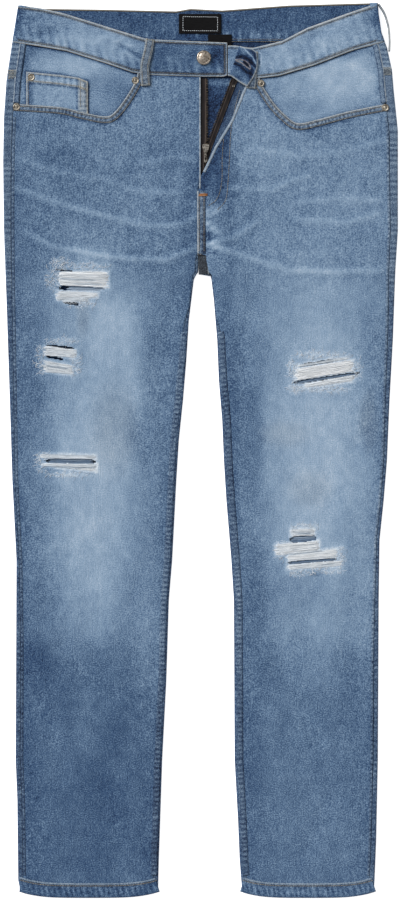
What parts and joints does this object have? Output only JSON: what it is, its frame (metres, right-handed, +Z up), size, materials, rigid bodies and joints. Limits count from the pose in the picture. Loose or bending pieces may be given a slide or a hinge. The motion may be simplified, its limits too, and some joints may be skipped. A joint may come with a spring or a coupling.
{
  "type": "ripped jeans",
  "caption": "Faded five-pocket denim jeans with frayed rips, undone at button and zip, laid out flat.",
  "frame": {"origin": "on the surface that the jeans lie on, under the middle of their length and width", "axes": "+Y towards the waist, +Z up from the surface, out of the front; +X towards the wearer's left leg"},
  "size_m": [0.4733, 1.074, 0.0131],
  "materials": {
    "faded_denim": "worn, stone-washed denim, right side",
    "back_denim": "denim, less faded than the front",
    "waistband_denim": "faded denim with pale worn edges",
    "inside_denim": "unfaded denim seen from the inside",
    "facing_denim": "pale faded denim",
    "zip_tape": "woven tape",
    "label_cloth": "woven black label, bare",
    "button_metal": "worn nickel",
    "rivet_metal": "worn coppered brass",
    "zip_metal": "old brass"
  },
  "bodies": {
    "garment": {"front_panel_left": "faded_denim", "front_panel_right": "faded_denim", "back_panel_left": "back_denim", "back_panel_right": "back_denim", "back_yoke_left": "back_denim", "back_yoke_right": "back_denim", "waistband_back": "inside_denim", "waistband_front_left": "waistband_denim", "waistband_front_right": "waistband_denim", "waistband_buttonhole_end": "inside_denim", "pocket_facing_left": "facing_denim", "pocket_facing_right": "facing_denim", "coin_pocket": "faded_denim", "belt_loop_front_left": "waistband_denim", "belt_loop_front_right": "waistband_denim", "belt_loop_right_side": "waistband_denim", "belt_loop_back_left": "waistband_denim", "belt_loop_back_middle": "waistband_denim", "back_pocket_left": "back_denim", "back_pocket_right": "back_denim", "fly_shield": "inside_denim", "fly_facing": "inside_denim", "zip_tape_left": "zip_tape", "zip_tape_right": "zip_tape", "zip_slider": "zip_metal", "zip_stop": "zip_metal", "shank_button": "button_metal", "rivet_pocket_left_inner": "rivet_metal", "rivet_pocket_left_side": "rivet_metal", "rivet_coin_pocket": "rivet_metal", "rivet_pocket_right_inner": "rivet_metal", "rivet_pocket_right_side": "rivet_metal", "waist_label": "label_cloth", "size_tab": "label_cloth"},
    "pull_tab": {"zip_pull_tab": "zip_metal"}
  },
  "joints": [
    {"name": "pull_tab_swing", "type": "hinge", "parent": "garment", "child": "pull_tab", "pos_m": [0.0062, 0.361, 0.00872], "axis": [-1, 0, 0], "range_deg": [0, 150]}
  ]
}
